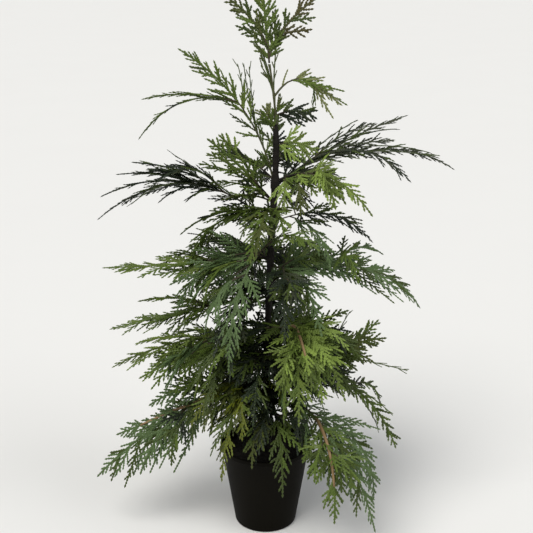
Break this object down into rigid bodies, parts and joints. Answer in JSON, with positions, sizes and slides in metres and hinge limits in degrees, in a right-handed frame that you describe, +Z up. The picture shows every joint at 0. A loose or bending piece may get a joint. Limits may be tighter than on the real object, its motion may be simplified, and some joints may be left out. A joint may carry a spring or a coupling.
{
  "type": "artificial potted northern white cedar tree",
  "caption": "Small artificial northern white cedar in a round black pot: a slim upright stem with arching boughs of flat, scale-leaved green sprays.",
  "frame": {"origin": "centre of the pot's flat underside", "axes": "+Z up along the tree, -Y towards the front, +X to the right seen from the front"},
  "size_m": [0.4905, 0.3418, 0.762],
  "materials": {
    "pot_plastic": "nearly black satin moulded plastic, slightly scuffed",
    "fill": "dark, dull, lumpy filling",
    "stem_wrap": "dark brown floral tape wound over wire, dull and slightly bumpy",
    "foliage": "green scale-leaved sprays, from yellow-green to dark blue-green, semi-matt"
  },
  "bodies": {
    "root": {"back_high_bough": "stem_wrap", "back_high_foliage": "foliage", "back_left_bough": "stem_wrap", "back_left_foliage": "foliage", "back_low_left_bough": "stem_wrap", "back_low_left_foliage": "foliage", "back_low_right_bough": "stem_wrap", "back_low_right_foliage": "foliage", "back_mid_foliage": "foliage", "back_right_bough": "stem_wrap", "back_right_foliage": "foliage", "back_skirt_bough": "stem_wrap", "back_skirt_foliage": "foliage", "breast_left_foliage": "foliage", "collar_back_foliage": "foliage", "collar_front_foliage": "foliage", "collar_left_foliage": "foliage", "collar_right_foliage": "foliage", "crest_right_bough": "stem_wrap", "crest_right_foliage": "foliage", "fill": "fill", "front_high_foliage": "foliage", "front_left_foliage": "foliage", "front_low_foliage": "foliage", "front_mid_foliage": "foliage", "front_right_bough": "stem_wrap", "front_right_foliage": "foliage", "front_skirt_foliage": "foliage", "front_skirt_left_foliage": "foliage", "high_left_bough": "stem_wrap", "high_left_foliage": "foliage", "leader_foliage": "foliage", "low_left_bough": "stem_wrap", "low_left_foliage": "foliage", "low_right_bough": "stem_wrap", "low_right_foliage": "foliage", "mid_left_bough": "stem_wrap", "mid_left_foliage": "foliage", "mid_right_bough": "stem_wrap", "mid_right_foliage": "foliage", "pot": "pot_plastic", "shoulder_left_bough": "stem_wrap", "shoulder_left_foliage": "foliage", "shoulder_right_bough": "stem_wrap", "shoulder_right_foliage": "foliage", "skirt_left_bough": "stem_wrap", "skirt_left_foliage": "foliage", "skirt_right_bough": "stem_wrap", "skirt_right_foliage": "foliage", "trunk": "stem_wrap", "upper_left_bough": "stem_wrap", "upper_left_foliage": "foliage", "upper_right_back_foliage": "foliage", "upper_right_front_bough": "stem_wrap", "upper_right_front_foliage": "foliage", "waist_left_bough": "stem_wrap", "waist_left_foliage": "foliage", "waist_right_bough": "stem_wrap", "waist_right_foliage": "foliage"}
  },
  "joints": []
}
